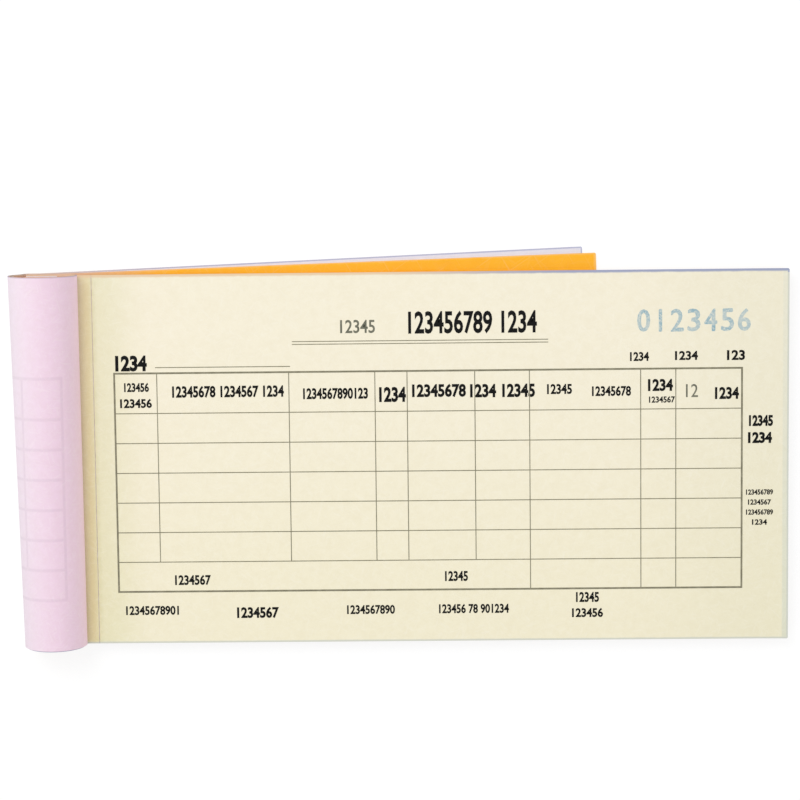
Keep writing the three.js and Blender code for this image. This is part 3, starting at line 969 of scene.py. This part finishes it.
turnedLeaves = {
    "pink": {
        "surface": "pinkPaper", "slot": "pink_paper", "thick": paper,
        "footTrim": 0.22, "headTrim": 0, "nodes": ["pink_01_roll", "pink_01_tail"],
    },
    "white": {
        "surface": "whitePaper", "slot": "white_paper", "thick": paper,
        "footTrim": 0.01, "headTrim": 0, "nodes": ["white_01_roll", "white_01_tail"],
    },
    "cover": {
        "surface": "orangeCard", "slot": "orange_card", "thick": card,
        "footTrim": 0.12, "headTrim": 0.22, "nodes": ["cover_wrap", "cover_tail"],
    },
}
# about how long the cells are on the stub, in the roll and past it, how far the fine ones go
# past the bend, and their size across the sheet
turnedGrid = {"stub": 2.5, "roll": 0.55, "tail": 5, "past": 5, "across": 3.6}
seamX = -80  # on the strip, under the roll, where the two card pieces meet


def makeTurnedLeaf(kind):
    look = turnedLeaves[kind]
    path = turnedPath(kind)
    start = seamX if kind == "cover" else sheetX
    rolledEnd = sheetX + lineLength(path["head"]) + turnedGrid["past"]
    xs = spread(start, foldX, turnedGrid["stub"])[:-1]
    xs += spread(foldX, rolledEnd, turnedGrid["roll"])[:-1]
    xs += spread(rolledEnd, foreX, turnedGrid["tail"])
    ys = spread(footY + look["footTrim"], headY - look["headTrim"], turnedGrid["across"])
    bm = sheetGrid(xs, ys)
    roundCorners(bm, foreX)
    setPlace(bm)
    for vert in bm.verts:
        vert.co = bend(path, vert.co.x, vert.co.y, look["thick"] / 2)
    bm.normal_update()
    thicken(bm, look["thick"])
    leaf = makeObject(kind + "Leaf", bm, [look["surface"]], crispAngle)
    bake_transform(leaf)
    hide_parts(*look["nodes"])


for leafKind in turnedLeaves:
    makeTurnedLeaf(leafKind)
print("turned leaves made")


# the card from the back panel round the spine and over the binding margin
coverBack = {
    "foreTrim": 0.3, "headTrim": 0.5, "bendRadius": 0.1, "bendSteps": 6,
    "panelCell": 8, "spineCell": 0.2, "acrossCell": 4,
}


def makeCoverBack():
    look = coverBack
    radius = look["bendRadius"] + card / 2
    backMid = nodeBox("set_20")[0].z - card / 2
    stripMid = turnedZ + 2 * pitch + card / 2
    spineMid = spineX + card / 2
    bentX, endX = spineMid + radius, foreX - look["foreTrim"]
    lowBend, highBend = Vector((bentX, backMid + radius)), Vector((bentX, stripMid - radius))
    legs = [
        straight(Vector((endX, backMid)), Vector((bentX, backMid)), 1),
        oval(lowBend, radius, radius, -90, -180, look["bendSteps"]),
        straight(Vector((spineMid, lowBend.y)), Vector((spineMid, highBend.y)), 1),
        oval(highBend, radius, radius, 180, 90, look["bendSteps"]),
        straight(Vector((bentX, stripMid)), Vector((seamX, stripMid)), 1),
    ]
    line = []
    for leg in legs:
        for i, (point, tangent) in enumerate(leg):
            if i or not line:
                line.append((point, Vector((-tangent.y, tangent.x))))
    path = {"head": line, "foot": line, "start": 0, "skew": 0, "rows": {}}
    total = lineLength(line)
    panel = endX - bentX
    xs = spread(0, panel, look["panelCell"])[:-1] + spread(panel, total, look["spineCell"])
    bm = sheetGrid(xs, spread(footY, headY - look["headTrim"], look["acrossCell"]))
    roundCorners(bm, 0)
    layer = bm.verts.layers.float_vector["place"]
    for vert in bm.verts:
        vert[layer] = (foreX - vert.co.x, vert.co.y, 1)
        vert.co = bend(path, min(vert.co.x, total - 1e-6), vert.co.y, card / 2)
    bm.normal_update()
    thicken(bm, card)
    piece = makeObject("coverBack", bm, ["orangeCard"], crispAngle)
    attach(piece, "book")
    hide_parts("cover_wrap")


makeCoverBack()
print("cover made")


# print on the open page; the words of such a form are left off, plain numbers stand there

printed = {
    "thick": 0.02,
    "above": 0.001,
    "rules": [  # left, right, height up the page, line width
        (-26.4, 32.4, 27.05, 0.19),
        (-26.4, 32.4, 26.4, 0.19),
        (-58, -26.9, 21.35, 0.19),
    ],
}
# digits, middle along and up the page, width and height, weight
blackNumbers = [
    ("123456789 1234", 15.1, 31.16, 29.5, 5.34, 0.026),
    ("1234", -63.5, 22.35, 7.29, 3.7, 0.045),
    ("1234", 53.29, 22.86, 4.35, 2.11, 0.034),
    ("1234", 64.04, 22.99, 5.26, 2.12, 0.034),
    ("123", 75.36, 22.99, 4.12, 2.34, 0.036),
    ("123456", -62.35, 16.81, 5.72, 2.14, 0.036),
    ("123456", -62.55, 13.1, 7.34, 2.15, 0.036),
    ("12345678 1234567 1234", -41.28, 15.68, 25.76, 2.79, 0.036),
    ("1234567890123", -16.53, 14.99, 14.92, 2.68, 0.036),
    ("1234", -3.42, 14.63, 6.17, 3.53, 0.04),
    ("12345678", 7.27, 15.46, 12.38, 3.12, 0.04),
    ("1234 12345", 21.86, 15.32, 14.9, 3.14, 0.04),
    ("12345", 34.94, 15.54, 5.72, 2.36, 0.034),
    ("12345678", 46.86, 14.97, 8.94, 2.39, 0.034),
    ("1234", 58.09, 16.25, 5.73, 2.82, 0.04),
    ("1234567", 58.44, 12.9, 5.96, 1.5, 0.03),
    ("1234", 73.32, 14.26, 5.5, 2.82, 0.04),
    ("12345", 81.13, 7.83, 5.51, 2.59, 0.048),
    ("1234", 80.92, 3.9, 5.51, 2.6, 0.048),
    ("123456789", 80.85, -8.74, 6.21, 1.3, 0.034),
    ("1234567", 80.86, -11.07, 5.29, 1.3, 0.034),
    ("123456789", 80.87, -13.4, 6.21, 1.3, 0.034),
    ("1234", 80.88, -15.73, 3.46, 1.3, 0.034),
    ("1234567", -50.22, -28.22, 8.32, 2.42, 0.034),
    ("12345", 10.91, -27.78, 5.3, 2.39, 0.034),
    ("12345678901", -59.78, -35.32, 12.29, 2.22, 0.032),
    ("1234567", -35.25, -35.99, 9.72, 2.67, 0.038),
    ("1234567890", -8.99, -35.49, 11.11, 2.21, 0.032),
    ("123456 78 901234", 14.9, -35.45, 16.21, 2.25, 0.032),
    ("12345", 41.2, -32.95, 5.31, 2.39, 0.034),
    ("123456", 41.19, -36.6, 7.17, 2.17, 0.034),
]
greyNumbers = [
    ("12345", -11.27, 30.39, 7.99, 3.07, 0.016),
    ("12", 65.31, 14.91, 2.75, 3.03, 0.004),
]
# the numbering wheel prints one digit beside the other, each struck more than once:
# shifts along and up the page, and in height
serial = {
    "digits": "0123456", "first": 54.26, "pitch": 3.83, "up": 31.13, "wide": 2.72, "narrow": 0.5, "high": 5,
}
strikes = [
    (0, 0, 0), (0.13, 0.03, -0.003), (-0.13, -0.03, -0.006), (0.02, 0.11, -0.009), (-0.02, -0.11, -0.012),
]
serialNumbers = [
    (
        digit, serial["first"] + i * serial["pitch"], serial["up"],
        serial["narrow"] if digit == "1" else serial["wide"], serial["high"], 0,
    )
    for i, digit in enumerate(serial["digits"])
]
pageTop = nodeBox("yellow_01_leaf")[1].z


def placeNumber(bm, digits, x, y, lower, wide, high, weight):
    # the text becomes a mesh first, then it is fitted to its place
    curve = bpy.data.curves.new("digits", "FONT")
    curve.body = digits
    curve.offset = weight
    curve.extrude = 0.05  # any depth will do, it is scaled below
    curve.resolution_u = 3
    source = addObject("digits", curve)
    bpy.context.view_layer.update()
    mesh = bpy.data.meshes.new_from_object(source.evaluated_get(bpy.context.evaluated_depsgraph_get()))
    glyphs = bmesh.new()
    glyphs.from_mesh(mesh)
    bmesh.ops.remove_doubles(glyphs, verts=glyphs.verts[:], dist=1e-4)
    bmesh.ops.recalc_face_normals(glyphs, faces=glyphs.faces[:])
    glyphs.to_mesh(mesh)
    glyphs.free()
    least = Vector(min(v.co[k] for v in mesh.vertices) for k in range(3))
    most = Vector(max(v.co[k] for v in mesh.vertices) for k in range(3))
    size = most - least
    mesh.transform(Matrix.Translation(-(least + most) / 2))
    thick = printed["thick"] + lower
    mesh.transform(Matrix.Diagonal((wide / size.x, high / size.y, thick / size.z, 1)))
    mesh.transform(Matrix.Translation((x, y, pageTop + printed["above"] + thick / 2)))
    bm.from_mesh(mesh)
    bpy.data.objects.remove(source)
    bpy.data.curves.remove(curve)
    bpy.data.meshes.remove(mesh)


def placeRule(bm, left, right, y, wide):
    made = bmesh.ops.create_grid(bm, x_segments=1, y_segments=1, size=0.5)
    verts = made["verts"]
    bmesh.ops.scale(bm, vec=(right - left, wide, 1), verts=verts)
    top = pageTop + printed["above"] + printed["thick"]
    bmesh.ops.translate(bm, vec=((left + right) / 2, y, top), verts=verts)
    faces = list({face for vert in verts for face in vert.link_faces})
    bmesh.ops.solidify(bm, geom=faces, thickness=printed["thick"])


def makePrint(name, surface, numbers, rules=(), struck=((0, 0, 0),)):
    bm = bmesh.new()
    for digits, x, y, wide, high, weight in numbers:
        for along, up, lower in struck:
            placeNumber(bm, digits, x + along, y + up, lower, wide, high, weight)
    for rule in rules:
        placeRule(bm, *rule)
    for vert in bm.verts:
        vert.co.z += pageLift(vert.co.x, vert.co.y)
    piece = makeObject(name, bm, [surface])
    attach(piece, "yellow_01")


makePrint("pageNumbers", "numberInk", blackNumbers)
makePrint("greyNumbers", "greyInk", greyNumbers)
makePrint("pageRules", "tableInk", [], printed["rules"])
makePrint("serialNumber", "serialInk", serialNumbers, struck=strikes)
print("print made")

# the CAD nodes whose shape is right keep it and get their finish
finishes = {
    "printed_table": "tableInk",
    "staple_head": "stapleWire",
    "staple_foot": "stapleWire",
}
for nodeName, surface in finishes.items():
    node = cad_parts[nodeName]
    node.data.materials.clear()
    node.data.materials.append(materials[surface])
print("CAD nodes finished")


# table top, light and camera

studio = {
    "sky": 0.72,
    "floorReach": 1500, "floorDrop": 0.02, "floorTints": ((230, 230, 230), (232, 232, 232)),
    # what the camera sees of the light on the floor, how much of it a lit floor sends back, and
    # the level that this and the floor's own white make together
    "floorShown": 0.28, "floorLit": 0.79, "floorLevel": 1.03,
    "keyPlace": (-0.3, 0.5, 0.88), "keySize": 0.55, "keyPower": 4.34,
}


def backgroundRays(tree):
    # 1 where the camera, a reflection or glass shows the background itself
    light = addNode(tree, "ShaderNodeLightPath").outputs
    return maths(tree, "MAXIMUM", *[light[f"Is {ray} Ray"] for ray in ("Camera", "Glossy", "Transmission")])


def makeFloor():
    bm = bmesh.new()
    bmesh.ops.create_grid(bm, x_segments=4, y_segments=4, size=studio["floorReach"])
    raiseBy(bm, -studio["floorDrop"])
    material, tree, shader = newMaterial("tableTop")
    grain = noise(tree, objectPlace(tree), 0.02, 3, 0.5)
    seen = backgroundRays(tree)
    pale = mixColour(tree, grain, *studio["floorTints"])
    shown = mixColour(tree, 1, pale, (studio["floorShown"],) * 3 + (1,), "MULTIPLY")
    tree.links.new(mixColour(tree, seen, pale, shown), shader.inputs["Base Color"])
    shader.inputs["Roughness"].default_value = 1
    shader.inputs["Specular IOR Level"].default_value = 0
    shader.inputs["Emission Color"].default_value = (1, 1, 1, 1)
    rest = studio["floorLevel"] - studio["floorLit"] * studio["floorShown"]
    tree.links.new(times(tree, seen, rest), shader.inputs["Emission Strength"])
    materials["tableTop"] = material
    floor = makeObject("tableTop", bm, ["tableTop"])


def makeLight():
    world = bpy.data.worlds.new("studio")
    bpy.context.scene.world = world
    world.use_nodes = True
    tree = world.node_tree
    tree.nodes.clear()
    strength = addNode(tree, "ShaderNodeMix", {0: backgroundRays(tree), 2: studio["sky"], 3: 1}).outputs[0]
    sky = addNode(tree, "ShaderNodeBackground", {"Color": (1, 1, 1, 1), "Strength": strength})
    addNode(tree, "ShaderNodeOutputWorld", {"Surface": sky.outputs[0]})

    lamp = bpy.data.lights.new("keyLight", "AREA")
    lamp.shape = "SQUARE"
    lamp.size = studio["keySize"]
    lamp.energy = studio["keyPower"]
    key = addObject("keyLight", lamp)
    key.location = studio["keyPlace"]
    key.rotation_euler = (-Vector(studio["keyPlace"])).to_track_quat("-Z", "Y").to_euler()


view = {"place": (8.96, 78.42, 600), "turn": (-6.254, 0.958, -0.641), "lens": 117.11, "sensor": 36}


def makeCamera():
    data = bpy.data.cameras.new("camera")
    data.sensor_width = view["sensor"]
    data.lens = view["lens"]
    data.clip_start = 0.01
    camera = addObject("camera", data)
    camera.location = Vector(view["place"]) * mm
    camera.rotation_euler = Euler([math.radians(angle) for angle in view["turn"]])
    bpy.context.scene.camera = camera


makeFloor()
makeLight()
makeCamera()
bpy.context.scene.view_settings.view_transform = "Standard"
print("studio made")
